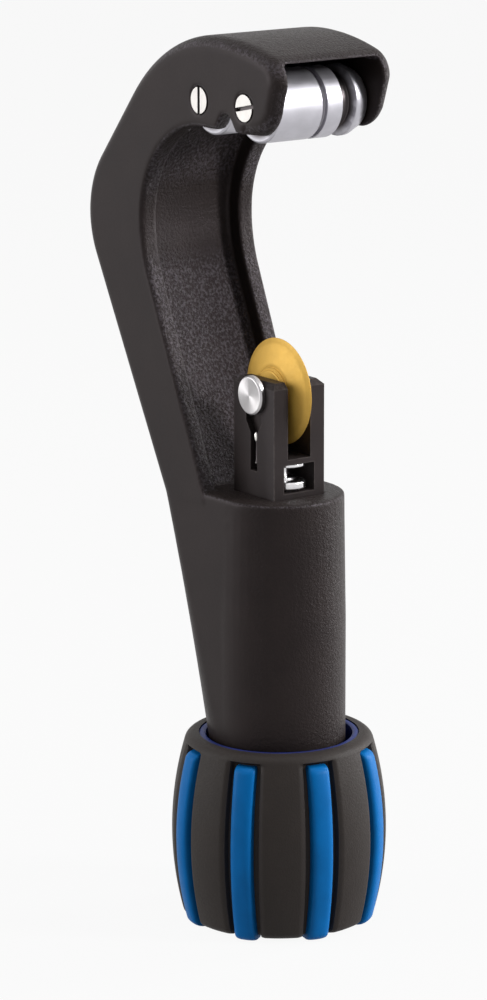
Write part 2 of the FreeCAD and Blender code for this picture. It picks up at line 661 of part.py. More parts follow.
# ---------------------------------------------------------------- knob
def around(body, originals, name):
    """Repeat features about the knob's axis, one for each rib."""
    axis = next(item for item in body.Origin.OriginFeatures if item.Role == "Z_Axis")
    pattern = body.newObject("PartDesign::PolarPattern", name)
    pattern.Originals = originals
    pattern.Axis = (axis, [""])
    pattern.Angle = FULL_TURN
    pattern.setExpression("Occurrences", formula("rib_count"))
    body.Tip = pattern
    document.recompute()


def turn_with_ribs(body):
    body.setExpression("Placement.Rotation.Angle", formula("rib_turn"))


def make_knob_core():
    """The hard core: base web, ring round the barrel and the ribs that stand through the grip."""
    body = turned_piece("knob_core", [
        ("0", "core_web_foot"), ("cap_ledge", "core_web_foot"), ("cap_ledge", "cap_height"),
        ("cap_radius + cap_gap", "cap_height"), ("cap_radius + cap_gap", "grip_foot"),
        ("core_radius", "grip_foot"), ("core_radius", "core_top"), ("knob_bore", "core_top"),
        ("knob_bore", "core_web_top"), ("0", "core_web_top"),
    ])
    socket = new_sketch(body, "hexagon_socket", "XY_Plane", "core_web_foot")
    hexagon_outline(socket, "hex_across + 2 * running_gap")
    feature(body, "Pocket", socket, "core_web_top - core_web_foot + overrun", reverse=True)
    rib = new_sketch(body, "rib", "XZ_Plane")
    outline(rib, [
        ("core_radius - rib_root", "0"), ("knob_foot_radius + rib_proud - rib_foot_bevel", "0"),
        ("knob_foot_radius + rib_proud", "rib_bevel"),
        ("knob_top_radius + rib_proud", "rib_top - rib_bevel", "knob_sweep", 1),
        ("knob_top_radius + rib_proud - rib_bevel", "rib_top"),
        ("core_radius - rib_root", "rib_top"),
    ])
    pad = feature(body, "Pad", rib, "rib_width", both=True)
    around(body, [pad], "ribs")
    turn_with_ribs(body)


def make_grip():
    """The soft grip over the core, with a groove on each side of every rib."""
    body = turned_piece("knob_grip", [
        ("core_radius", "grip_foot"), ("knob_foot_radius - grip_foot_bevel", "grip_foot"),
        ("knob_foot_radius", "grip_foot + grip_foot_rise"),
        ("knob_top_radius", "knob_top - grip_top_drop", "knob_sweep", 1),
        ("knob_top_radius - grip_top_bevel", "knob_top"), ("core_radius", "knob_top"),
    ])
    slot = new_sketch(body, "rib_slot", "XY_Plane", "grip_foot - overrun")
    box_outline(slot, "core_radius - overrun", "knob_reach + overrun",
                "-rib_width / 2", "rib_width / 2")
    slots = feature(body, "Pocket", slot, "rib_top - grip_foot + overrun", reverse=True)
    groove = new_sketch(body, "rib_groove_outline", "XZ_Plane")
    above = "rib_top + rib_groove_over"
    outline(groove, [
        ("knob_reach + overrun", "-overrun"), ("knob_reach + overrun", above),
        ("knob_top_radius - rib_groove_depth", above),
        ("knob_foot_radius - rib_groove_depth", "-overrun", "knob_sweep", -1),
    ])
    grooves = feature(body, "Pocket", groove, "rib_width + 2 * rib_groove", both=True)
    around(body, [slots, grooves], "rib_slots")
    turn_with_ribs(body)


def make_knob_fasteners():
    turned_piece("knob_end_cap", [
        ("0", "0"), ("cap_radius - cap_bevel", "0"), ("cap_radius", "cap_bevel"),
        ("cap_radius", "cap_height"), ("0", "cap_height"),
    ])
    washer_foot = "(core_web_foot - screw_washer_height)"
    turned_piece("knob_screw_washer", [
        ("screw_radius + screw_gap", washer_foot), ("screw_washer_radius", washer_foot),
        ("screw_washer_radius", "core_web_foot"), ("screw_radius + screw_gap", "core_web_foot"),
    ])
    screw = turned_piece("knob_screw", [
        ("0", f"{washer_foot} - screw_head_height"),
        ("screw_head_radius", f"{washer_foot} - screw_head_height"),
        ("screw_head_radius", washer_foot), ("screw_radius", washer_foot),
        ("screw_radius", f"{washer_foot} + screw_length"), ("0", f"{washer_foot} + screw_length"),
    ])
    socket = new_sketch(screw, "screw_socket_outline", "XY_Plane",
                        f"{washer_foot} - screw_head_height")
    hexagon_outline(socket, "screw_socket")
    feature(screw, "Pocket", socket, "screw_socket_depth", reverse=True)


# ---------------------------------------------------------------- build and write
def check_and_write():
    document.recompute()
    failed = [item.Name for item in document.Objects
              if {"Invalid", "Error"} & set(item.State)]
    if failed:
        raise RuntimeError(f"failed objects: {failed}")
    for body in pieces:
        if body.Shape.isNull() or not body.Shape.isValid():
            raise RuntimeError(f"bad shape: {body.Label}")
    os.makedirs("parts", exist_ok=True)
    for body in pieces:
        body.Shape.exportStep(f"parts/{body.Label}.step")
        print(f"{body.Label}: {body.Shape.Volume:.1f} mm3, {len(body.Shape.Solids)} solid")


fill_sheet()
make_frame()
for roller_name, roller_place in ROLLER_PLACES.items():
    make_roller_pin(roller_name, roller_place)
    make_roller(roller_name, roller_place)
make_carriage()
make_wheel()
make_axle_pin()
make_spring_wire()
make_spindle()
make_drive()
make_knob_core()
make_grip()
make_knob_fasteners()
check_and_write()
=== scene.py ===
"""Looks for a telescoping tube cutter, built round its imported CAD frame."""
import json
import math

import bmesh
import bpy
import numpy as np
from mathutils import Matrix, Vector


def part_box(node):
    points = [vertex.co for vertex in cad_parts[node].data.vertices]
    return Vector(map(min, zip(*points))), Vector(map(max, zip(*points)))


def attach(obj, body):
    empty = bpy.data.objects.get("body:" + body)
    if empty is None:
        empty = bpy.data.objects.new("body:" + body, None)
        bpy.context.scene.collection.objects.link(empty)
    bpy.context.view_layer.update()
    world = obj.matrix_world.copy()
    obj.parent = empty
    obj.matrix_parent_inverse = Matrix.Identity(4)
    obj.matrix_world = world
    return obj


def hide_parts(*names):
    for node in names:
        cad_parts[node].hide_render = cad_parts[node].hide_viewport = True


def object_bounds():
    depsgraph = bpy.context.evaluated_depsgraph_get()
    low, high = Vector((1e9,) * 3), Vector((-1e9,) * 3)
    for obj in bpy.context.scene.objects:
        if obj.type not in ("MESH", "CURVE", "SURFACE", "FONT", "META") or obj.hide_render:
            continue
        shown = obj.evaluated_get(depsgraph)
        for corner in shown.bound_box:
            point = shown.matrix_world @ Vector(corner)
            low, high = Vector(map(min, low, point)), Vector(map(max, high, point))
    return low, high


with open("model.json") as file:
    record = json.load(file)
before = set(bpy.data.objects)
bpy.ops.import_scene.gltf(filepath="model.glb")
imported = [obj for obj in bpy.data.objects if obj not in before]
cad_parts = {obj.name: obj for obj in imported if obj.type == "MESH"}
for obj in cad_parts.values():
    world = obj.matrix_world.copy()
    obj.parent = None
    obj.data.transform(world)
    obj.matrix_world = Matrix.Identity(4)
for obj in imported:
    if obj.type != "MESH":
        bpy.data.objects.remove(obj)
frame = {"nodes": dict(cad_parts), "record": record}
CAD_BOX = [list(corner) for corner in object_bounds()]
MM = 0.001
BODY_OF = {node: body for body, nodes in frame["record"]["behaviour"]["bodies"].items()
           for node in nodes}


# ---------------------------------------------------------------- materials
EDGE_COSINES = (0.995, 0.86)  # bevelled against true normal: still flat, fully an edge
PAINT_SPECULAR = 0.14
PAINT_TINT = (1.0, 0.88, 0.95, 1.0)
WEAR_AND_HIGHLIGHT_MAX = 0.8  # the largest share of the lighter colour: paint wear plus painted highlight at the edges, painted highlight on the crest of each wrinkle
# the colour of painted shade in the recesses of metal parts
HOLLOW_SHADE = (0.085, 0.074, 0.076)


class Surface:
    """One Principled material, with short calls for the nodes that shape it."""

    def __init__(self, name, metallic=0.0, specular=0.5):
        self.material = bpy.data.materials.new(name)
        self.material.use_nodes = True
        self.tree = self.material.node_tree
        self.shader = self.tree.nodes["Principled BSDF"]
        self.shader.inputs["Metallic"].default_value = metallic
        self.shader.inputs["Specular IOR Level"].default_value = specular
        self.point = self.tree.nodes.new("ShaderNodeTexCoord").outputs["Object"]
        self.normal = None

    def node(self, kind, inputs=(), **settings):
        made = self.tree.nodes.new(kind)
        for key, setting in settings.items():
            setattr(made, key, setting)
        for key, source in dict(inputs).items():
            if isinstance(source, bpy.types.NodeSocket):
                self.tree.links.new(source, made.inputs[key])
            else:
                made.inputs[key].default_value = source
        return made

    def math(self, operation, *values):
        made = self.node("ShaderNodeMath", operation=operation)
        for index, source in enumerate(values):
            if isinstance(source, bpy.types.NodeSocket):
                self.tree.links.new(source, made.inputs[index])
            else:
                made.inputs[index].default_value = source
        return made.outputs[0]

    def noise(self, size, detail=3.0, rough=0.5, stretch=(1, 1, 1)):
        """Noise whose features are about size millimetres across."""
        moved = self.node("ShaderNodeMapping", {"Vector": self.point, "Scale": stretch})
        made = self.node("ShaderNodeTexNoise", {
            "Vector": moved.outputs[0], "Scale": 1 / (size * MM), "Detail": detail,
            "Roughness": rough})
        return made.outputs["Fac"]

    def remap(self, source, low, high, to_low=0.0, to_high=1.0):
        made = self.node("ShaderNodeMapRange", {
            "Value": source, "From Min": low, "From Max": high, "To Min": to_low,
            "To Max": to_high})
        return made.outputs[0]

    def edges(self, radius):
        """1 on convex and concave edges, 0 on flats, from how far a bevelled normal turns."""
        bevel = self.node("ShaderNodeBevel", {"Radius": radius * MM}, samples=6)
        true = self.node("ShaderNodeNewGeometry").outputs["Normal"]
        dot = self.node("ShaderNodeVectorMath", {0: bevel.outputs[0], 1: true},
                        operation="DOT_PRODUCT").outputs["Value"]
        return self.remap(dot, *EDGE_COSINES)

    def facing(self, axis):
        """How squarely the surface faces along one axis, either way."""
        normal = self.node("ShaderNodeTexCoord").outputs["Normal"]
        split = self.node("ShaderNodeSeparateXYZ", {0: normal})
        return self.math("ABSOLUTE", split.outputs[axis])

    def bump(self, height, distance, strength=1.0):
        inputs = {"Height": height, "Distance": distance * MM, "Strength": strength}
        if self.normal:
            inputs["Normal"] = self.normal
        self.normal = self.node("ShaderNodeBump", inputs).outputs[0]

    def blend(self, factor, first, second):
        made = self.node("ShaderNodeMix", data_type="RGBA")
        for index, source in ((0, factor), (6, first), (7, second)):
            if isinstance(source, bpy.types.NodeSocket):
                self.tree.links.new(source, made.inputs[index])
            elif index:
                made.inputs[index].default_value = (*source, 1.0)
            else:
                made.inputs[index].default_value = source
        return made.outputs[2]

    def place(self, centre, across):
        """Distance from a centre, in metres, counting only the axes marked 1 in across."""
        offset = self.node("ShaderNodeVectorMath", {0: self.point, 1: tuple(centre)},
                           operation="SUBTRACT")
        kept = self.node("ShaderNodeVectorMath", {0: offset.outputs[0], 1: across},
                         operation="MULTIPLY")
        length = self.node("ShaderNodeVectorMath", {0: kept.outputs[0]}, operation="LENGTH")
        return length.outputs["Value"]

    def finish(self, color, roughness):
        self.tree.links.new(color, self.shader.inputs["Base Color"])
        self.tree.links.new(roughness, self.shader.inputs["Roughness"])
        if self.normal:
            self.tree.links.new(self.normal, self.shader.inputs["Normal"])
        return self.material


def shade(color, factor):
    return tuple(channel * factor for channel in color)


def painted(name, color, wear_and_highlight, roughness, grain, depth, side_calm):
    """Satin paint over a casting: a wrinkle that is calmer on the flat sides and on upright
    faces, lighter at the edges from wear and a painted highlight and, where the surface
    slopes, a painted highlight on the crest of each wrinkle."""
    s = Surface(name, specular=PAINT_SPECULAR)
    s.shader.inputs["Specular Tint"].default_value = PAINT_TINT
    patches = s.noise(9.0, 2.0)
    wrinkle = s.noise(grain, 4.0, 0.6)
    fine = s.noise(grain * 0.35, 2.0)
    calm = s.remap(s.facing("Y"), 0.80, 0.97, 1.0, side_calm)
    calm = s.math("MULTIPLY", calm, s.remap(s.facing("Z"), 0.10, 0.30, 0.40, 1.0))
    s.bump(wrinkle, depth, calm)
    s.bump(fine, depth * 0.3, calm)
    # lighter edges: partly paint wear, partly a painted highlight along them
    edge_wear_and_highlight = s.math("MULTIPLY", s.edges(0.5), s.remap(s.noise(1.6, 4.0), 0.35, 0.62, 0.25, 1.0))
    base = s.blend(s.remap(patches, 0.3, 0.7), shade(color, 0.86), shade(color, 1.12))
    # painted highlight: where faces slope up, as the web does, the crest of each wrinkle takes the
    # lighter colour
    slope = s.facing("Z")
    highlight_slope_mask = s.math("MULTIPLY", s.remap(slope, 0.22, 0.36), s.remap(slope, 0.60, 0.80, 1.0, 0.0))
    painted_crest_highlight = s.math("MULTIPLY", s.remap(wrinkle, 0.44, 0.66), highlight_slope_mask)
    wear_and_highlight_share = s.math("MAXIMUM", s.math("MULTIPLY", edge_wear_and_highlight, WEAR_AND_HIGHLIGHT_MAX), s.math("MULTIPLY", painted_crest_highlight, WEAR_AND_HIGHLIGHT_MAX))
    lightened = s.blend(wear_and_highlight_share, base, wear_and_highlight)
    return s.finish(lightened, s.remap(wrinkle, 0.3, 0.7, roughness - 0.05, roughness + 0.07))


def moulded(name, color, roughness, grain, depth, light, specular=0.3):
    """Moulded plastic or rubber: a fine stipple, faint cloudiness and lighter, rubbed edges."""
    s = Surface(name, specular=specular)
    stipple = s.noise(grain, 3.0, 0.6)
    s.bump(stipple, depth)
    cloud = s.remap(s.noise(7.0, 3.0), 0.3, 0.7)
    base = s.blend(cloud, shade(color, 0.9), shade(color, 1.1))
    lightened = s.blend(s.math("MULTIPLY", s.edges(0.45), 0.6), base, light)
    return s.finish(lightened, s.remap(stipple, 0.3, 0.7, roughness - 0.05, roughness + 0.06))


def turned_metal(name, color, roughness, centre, axis):
    """Metal with the fine rings that turning leaves, round an axis through centre."""
    pitch, depth, tint = 0.035, 0.003, 0.9
    s = Surface(name, metallic=1.0)
    moved = s.node("ShaderNodeMapping", {
        "Vector": s.point, "Location": [-place for place in centre]})
    rings = s.node("ShaderNodeTexWave", {
        "Vector": moved.outputs[0], "Scale": 1 / (20 * pitch * MM), "Distortion": 0.6,
        "Detail": 2.0, "Detail Scale": 2.0}, wave_type="RINGS", rings_direction=axis)
    s.bump(rings.outputs["Fac"], depth)
    s.bump(s.noise(0.5, 4.0), depth * 0.6)
    smear = s.remap(s.noise(3.0, 4.0), 0.3, 0.7)
    base = s.blend(smear, shade(color, tint), color)
    tangent = s.node("ShaderNodeTangent", direction_type="RADIAL", axis=axis)
    s.tree.links.new(tangent.outputs[0], s.shader.inputs["Tangent"])
    s.shader.inputs["Anisotropic"].default_value = 0.8
    return s.finish(base, s.remap(smear, 0.0, 1.0, roughness - 0.05, roughness + 0.08))


def satin_metal(name, color, edge_shade, roughness, streak=(1, 1, 1), metallic=1.0, depth=0.004,
                shaded_hollow=None):
    """Machined or coated metal: soft streaks and scratches. Painted shade darkens its recess,
    given as (centre, axes that count, millimetres where it is fully shaded, millimetres where
    it is unshaded)."""
    s = Surface(name, metallic)
    streaks = s.noise(0.5, 4.0, 0.6, streak)
    s.bump(streaks, depth)
    base = s.blend(s.remap(s.noise(2.5, 4.0), 0.35, 0.7), shade(color, 0.92), color)
    # painted shade: edges and creases blend towards a darker copy of the colour
    shaded_color = s.blend(s.math("MULTIPLY", s.edges(0.3), 0.35), base, edge_shade)
    # painted shade: the part darkens into its recess, by distance from a centre
    if shaded_hollow:
        centre, across, fully_shaded_mm, unshaded_mm = shaded_hollow
        share = s.remap(s.place(centre, across), fully_shaded_mm * MM, unshaded_mm * MM, 1.0, 0.0)
        shaded_color = s.blend(share, shaded_color, HOLLOW_SHADE)
    return s.finish(shaded_color, s.remap(streaks, 0.3, 0.7, roughness - 0.05, roughness + 0.07))


# ---------------------------------------------------------------- geometry
WELD = 0.002  # CAD points closer than this many millimetres are one


def make_piece(name, bm, material, nodes, smooth=32.0):
    """Turn a bmesh into an object that stands for its CAD nodes and rides on their body."""
    bmesh.ops.recalc_face_normals(bm, faces=bm.faces)
    mesh = bpy.data.meshes.new(name)
    bm.to_mesh(mesh)
    bm.free()
    piece = bpy.data.objects.new(name, mesh)
    bpy.context.scene.collection.objects.link(piece)
    mesh.materials.append(material)
    mesh.shade_smooth()
    mesh.set_sharp_from_angle(angle=math.radians(smooth))
    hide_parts(*nodes)
    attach(piece, BODY_OF[nodes[0]])
    return piece


def cad_copy(node, flat=0.6):
    """A welded copy of a CAD node's surface, with its flat faces made whole."""
    bm = bmesh.new()
    bm.from_mesh(frame["nodes"][node].data)
    bmesh.ops.remove_doubles(bm, verts=bm.verts, dist=WELD * MM)
    bmesh.ops.dissolve_limit(bm, angle_limit=math.radians(flat), verts=bm.verts, edges=bm.edges)
    return bm


def eased(piece, width, segments=2, angle=40.0):
    """Give a piece the small round that every real edge has."""
    bevel = piece.modifiers.new("edges", "BEVEL")
    bevel.width = width * MM
    bevel.segments = segments
    bevel.limit_method = "ANGLE"
    bevel.angle_limit = math.radians(angle)
    bevel.harden_normals = True
    bevel.use_clamp_overlap = True
    return piece


def cast_copy(node, voxel, rounds):
    """A copy of a CAD node with its edges and joins softened all over, as casting and paint do."""
    mesh = frame["nodes"][node].data.copy()
    holder = bpy.data.objects.new("softening", mesh)
    bpy.context.scene.collection.objects.link(holder)
    weld = holder.modifiers.new("weld", "WELD")
    weld.merge_threshold = WELD * MM
    remesh = holder.modifiers.new("voxels", "REMESH")
    remesh.mode = "VOXEL"
    remesh.voxel_size = voxel * MM
    smooth = holder.modifiers.new("smooth", "SMOOTH")
    smooth.factor = 0.5
    smooth.iterations = rounds
    bpy.context.view_layer.update()
    evaluated = holder.evaluated_get(bpy.context.evaluated_depsgraph_get())
    bm = bmesh.new()
    bm.from_mesh(evaluated.to_mesh())
    evaluated.to_mesh_clear()
    bpy.data.objects.remove(holder)
    return bm


def lathe(profile, steps=96):
    """A closed profile of (radius, height) points in millimetres turned about Z."""
    bm = bmesh.new()
    rings = []
    for step in range(steps):
        turn = 2 * math.pi * step / steps
        rings.append([bm.verts.new((r * MM * math.cos(turn), r * MM * math.sin(turn), z * MM))
                      for r, z in profile])
    for step, ring in enumerate(rings):
        following = rings[(step + 1) % steps]
        for here in range(len(profile)):
            there = (here + 1) % len(profile)
            bm.faces.new((ring[here], following[here], following[there], ring[there]))
    return bm


def along_y(bm, x, z):
    """Lay a turned bmesh along Y through the point x, z."""
    turn = Matrix.Rotation(math.radians(90.0), 4, "X")
    bmesh.ops.transform(bm, matrix=Matrix.Translation((x, 0, z)) @ turn, verts=bm.verts)
    return bm


# ---------------------------------------------------------------- knob
KNOB_FOOT, FOOT_RISE, TOP_DROP, RIM_ROUND = 0.7, 1.2, 1.5, 1.5
KNOB_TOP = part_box("knob_grip")[1].z / MM
CORE_RADIUS = 17.0
FOOT_RADIUS, TOP_RADIUS, SWEEP = 20.6, 20.0, 70.0
RIB_COUNT, RIB_TURN, RIB_HALF, RIB_PROUD, RIB_TOP = 8, -12.5, 2.3, 0.45, 38.2
RIB_ROUND, RIB_CROWN, RIB_SIDE, RIB_POWER = 1.6, 1.15, 2.0, 2.6
GROOVE, GROOVE_DEPTH, GROOVE_WALL = 1.25, 1.7, 0.3
GROOVE_PAST, GROOVE_FADE = 1.0, 0.9
CHAMFER, CHAMFER_DEPTH = 1.1, 0.45


def belly(z):
    """Radius of the knob's bulging side at height z, in millimetres."""
    low, high = KNOB_FOOT + FOOT_RISE, KNOB_TOP - TOP_DROP
    share = (z - low) / (high - low)
    half = (high - low) / 2
    bulge = math.sqrt(SWEEP ** 2 - (z - low - half) ** 2) - math.sqrt(SWEEP ** 2 - half ** 2)
    return FOOT_RADIUS + (TOP_RADIUS - FOOT_RADIUS) * share + bulge


def end_round(z, low, high, radius):
    """How far a rounded end pulls in the side at height z."""
    near = min(z - low, high - z)
    if near >= radius:
        return 0.0
    return radius - math.sqrt(max(radius ** 2 - (radius - near) ** 2, 0.0))


def heights(low, high, radius, middle=30, ends=7):
    """Levels that crowd together where the ends are rounded."""
    curve = [radius * (1 - math.cos(math.pi / 2 * step / ends)) for step in range(ends)]
    levels = [low + step for step in curve]
    levels += list(np.linspace(low + radius, high - radius, middle))
    return levels + [high - step for step in reversed(curve)]


def groove_end(z):
    """1 along the grooves, falling to 0 just above the ribs, so that the rim stays whole."""
    share = min(max((RIB_TOP + GROOVE_PAST - z) / GROOVE_FADE, 0.0), 1.0)
    return share * share * (3 - 2 * share)


def panel_depth(offset):
    """Depth below the panel's face at a distance from a rib's middle, in millimetres."""
    past = offset - RIB_HALF - GROOVE
    if past <= 0:
        return GROOVE_DEPTH
    if past < GROOVE_WALL:
        return GROOVE_DEPTH + (CHAMFER_DEPTH - GROOVE_DEPTH) * past / GROOVE_WALL
    if past < GROOVE_WALL + CHAMFER:
        share = (past - GROOVE_WALL) / CHAMFER
        return CHAMFER_DEPTH * (1 - share) ** 1.6
    return 0.0


def grip_mesh():
    """The soft panels: a bulging sleeve, grooved beside every rib and chamfered beyond."""
    middle = (FOOT_RADIUS + TOP_RADIUS) / 2 + 2.0
    sector = 2 * math.pi * middle / RIB_COUNT / 2
    marks = [0.0, RIB_HALF, RIB_HALF + GROOVE - 0.05, RIB_HALF + GROOVE + 0.02]
    marks += [RIB_HALF + GROOVE + step for step in (0.15, 0.3, 0.45, 0.65, 0.9, 1.15, 1.4, 1.6)]
    marks += list(np.linspace(marks[-1] + 0.4, sector, 6))
    offsets = [-mark for mark in reversed(marks[1:-1])] + marks
    above_ribs = [RIB_TOP + step for step in np.linspace(0.1, 0.85, 6)]
    levels = sorted(heights(KNOB_FOOT, KNOB_TOP, RIM_ROUND) + above_ribs)
    bm = bmesh.new()
    columns = []
    for rib in range(RIB_COUNT):
        for offset in offsets:
            turn = math.radians(RIB_TURN + 360 / RIB_COUNT * rib) + offset / middle
            cos, sin = math.cos(turn), math.sin(turn)
            column = []
            for z in levels:
                depth = panel_depth(abs(offset)) * groove_end(z)
                radius = belly(z) - depth - end_round(z, KNOB_FOOT, KNOB_TOP, RIM_ROUND)
                column.append((radius, z))
            column += [(CORE_RADIUS, KNOB_TOP), (CORE_RADIUS, KNOB_FOOT)]
            columns.append([bm.verts.new((r * MM * cos, r * MM * sin, z * MM)) for r, z in column])
    count = len(columns[0])
    for index, column in enumerate(columns):
        following = columns[(index + 1) % len(columns)]
        for here in range(count):
            there = (here + 1) % count
            bm.faces.new((column[here], following[here], following[there], column[there]))
    return bm


def rib_section(z):
    """One rib's section at height z: (radius, across) points from one foot to the other."""
    crest = belly(z) + RIB_PROUD - end_round(z, 0.0, RIB_TOP, RIB_ROUND)
    half = RIB_HALF - 0.35 * end_round(z, 0.0, RIB_TOP, 1.0)
    points = [(CORE_RADIUS - 0.3, -half), (crest - RIB_SIDE, -half)]
    for step in range(13):
        turn = math.pi * step / 12
        across = -math.cos(turn)
        rise = (1 - abs(across) ** RIB_POWER) ** (1 / RIB_POWER)
        points.append((crest - RIB_CROWN * (1 - rise), half * across))
    return points + [(crest - RIB_SIDE, half), (CORE_RADIUS - 0.3, half)]


def ribs_mesh():
    """The eight hard ribs, each a stack of rounded sections closed at both ends."""
    bm = bmesh.new()
    for rib in range(RIB_COUNT):
        turn = math.radians(RIB_TURN + 360 / RIB_COUNT * rib)
        cos, sin = math.cos(turn), math.sin(turn)
        rings = [[bm.verts.new(((r * cos - y * sin) * MM, (r * sin + y * cos) * MM, z * MM))
                  for r, y in rib_section(z)] for z in heights(0.0, RIB_TOP, RIB_ROUND, middle=24)]
        for ring, following in zip(rings, rings[1:]):
            for here in range(len(ring)):
                there = (here + 1) % len(ring)
                bm.faces.new((ring[here], ring[there], following[there], following[here]))
        bm.faces.new(rings[0])
        bm.faces.new(rings[-1])
    return bm


CORE_PROFILE = [
    (0.001, 6.8), (12.5, 6.8), (12.5, 2.4), (15.35, 2.4), (15.35, 0.9), (15.55, 0.7),
    (16.8, 0.7), (17.0, 0.9), (17.0, 40.1), (16.85, 40.35), (16.6, 40.45), (15.9, 40.45),
    (15.6, 40.3), (15.5, 40.0), (15.5, 11.2), (0.001, 11.2)]


# ---------------------------------------------------------------- finishes
WHEEL_CENTRE = (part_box("cutter_wheel")[0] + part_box("cutter_wheel")[1]) / 2
CENTRES = {name: (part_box(name)[0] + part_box(name)[1]) / 2
           for name in ("roller_pin_front", "roller_pin_rear", "roller_front", "roller_rear")}
# the second colour is the lighter one, used for paint wear and painted highlight
CASTING = painted("black_casting", (0.0185, 0.0140, 0.0128), (0.105, 0.092, 0.104), 0.40,
                  grain=0.60, depth=0.48, side_calm=0.06)
CARRIAGE = painted("black_carriage", (0.0235, 0.0188, 0.0182), (0.085, 0.074, 0.070), 0.44,
                   grain=0.5, depth=0.020, side_calm=0.6)
RIB_BLUE = moulded("blue_plastic", (0.000, 0.140, 0.430), 0.48, 0.35, 0.02,
                   (0.01, 0.23, 0.60), 0.12)
RING_BLUE = moulded("blue_ring", (0.008, 0.022, 0.150), 0.48, 0.35, 0.02,
                    (0.02, 0.05, 0.25), 0.20)
GRIP = moulded("black_grip", (0.0230, 0.0180, 0.0160), 0.58, 0.45, 0.06,
               (0.060, 0.050, 0.046), 0.20)
CAP = moulded("black_plastic", (0.020, 0.018, 0.018), 0.45, 0.6, 0.03, (0.05, 0.045, 0.045))
NYLON = moulded("white_nylon", (0.60, 0.59, 0.55), 0.5, 0.8, 0.02, (0.7, 0.69, 0.66))
# the second colour of each metal is the darker copy, painted as shade on its edges and creases
WHEEL = satin_metal("gold_wheel", (0.66, 0.400, 0.072), (0.32, 0.16, 0.02), 0.55, metallic=0.45)
# painted shade: the rollers darken towards their axes, in their grooves
ROLLERS = {name: satin_metal(name + "_steel", (0.50, 0.49, 0.53), (0.27, 0.26, 0.29), 0.42,
                             (1, 0.15, 1), 0.90, 0.0012, (CENTRES[name], (1, 0, 1), 5.7, 6.9))
           for name in ("roller_front", "roller_rear")}
BUTTON = turned_metal("button_steel", (0.50, 0.485, 0.49), 0.34, WHEEL_CENTRE, "Y")
# painted shade: the pins and the spring wire darken where they sink below their front faces
PIN_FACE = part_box("roller_pin_front")[0].y
PIN = satin_metal("pin_steel", (0.54, 0.52, 0.50), (0.24, 0.23, 0.22), 0.34, (1, 0.2, 1),
                  shaded_hollow=((0, PIN_FACE + 8 * MM, 0), (0, 1, 0), 7.5, 7.9))
WIRE_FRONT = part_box("detent_spring_wire")[0].y
WIRE = satin_metal("wire_steel", (0.80, 0.78, 0.74), (0.35, 0.34, 0.33), 0.30,
                   shaded_hollow=((0, WIRE_FRONT + 8 * MM, 0), (0, 1, 0), 7.70, 7.85))
BRIGHT = satin_metal("bright_steel", (0.78, 0.77, 0.78), (0.35, 0.34, 0.35), 0.22,
                     (1, 1, 0.2))
DARK = satin_metal("dark_steel", (0.22, 0.22, 0.23), (0.10, 0.10, 0.10), 0.38)
BRONZE = satin_metal("bronze", (0.60, 0.40, 0.18), (0.30, 0.18, 0.07), 0.34)


# ---------------------------------------------------------------- pieces
def wheel_mesh():
    """The cutting wheel: a thin lens with a stepped hub and a ground edge."""
    half = [(2.3, 2.6), (4.35, 2.6), (4.6, 2.45), (4.6, 2.2), (4.75, 2.1), (5.05, 2.1), (5.2, 1.98),
            (5.2, 1.75), (5.35, 1.66), (5.7, 1.72), (6.2, 1.66), (8.0, 1.22), (9.6, 0.80),
            (10.2, 0.60), (10.35, 0.50), (10.9, 0.18), (11.2, 0.04)]
    profile = half + [(radius, -side) for radius, side in reversed(half)]
    return along_y(lathe(profile, 128), WHEEL_CENTRE.x, WHEEL_CENTRE.z)


def wire_mesh():
    """The spring wire in the near leg's slot: a thin shank with a bead at each end."""
    low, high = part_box("detent_spring_wire")
    middle = (low + high) / 2
    foot, top = low.z / MM, high.z / MM
    profile = [(0.001, foot), (0.28, foot + 0.12), (0.36, foot + 0.45), (0.24, foot + 0.85),
               (0.22, top - 2.6), (0.34, top - 2.2), (0.52, top - 1.85), (0.60, top - 1.3),
               (0.55, top - 0.75), (0.38, top - 0.3), (0.001, top - 0.1)]
    bm = lathe(profile, 32)
    bmesh.ops.translate(bm, vec=(middle.x, middle.y, 0), verts=bm.verts)
    return bm


def clip_mesh(low, high, half, front):
    """A flat piece pushed in from the front: a half round behind, a blunt curve in front."""
    turns = [math.radians(90 + 180 * step / 24) for step in range(25)]
    outline = [(half * math.cos(turn), half * math.sin(turn)) for turn in turns]
    turns = [math.radians(-90 + 180 * step / 32) for step in range(33)]
    outline += [(front * abs(math.cos(turn)) ** 0.45, half * math.sin(turn))
                for turn in turns[1:-1]]
    bm = bmesh.new()
    face = bm.faces.new([bm.verts.new((x * MM, y * MM, low)) for x, y in outline])
    raised = bmesh.ops.extrude_face_region(bm, geom=[face])["geom"]
    bmesh.ops.translate(bm, vec=(0, 0, high - low),
                        verts=[item for item in raised if isinstance(item, bmesh.types.BMVert)])
    return bm


def turned_slot(node, degrees):
    """A pin with its screwdriver slot turned to stand as it was left."""
    bm = cad_copy(node)
    centre = CENTRES[node]
    turn = Matrix.Rotation(math.radians(degrees), 4, "Y")
    place = Matrix.Translation((centre.x, 0, centre.z))
    bmesh.ops.transform(bm, matrix=place @ turn @ place.inverted(), verts=bm.verts)
    return bm


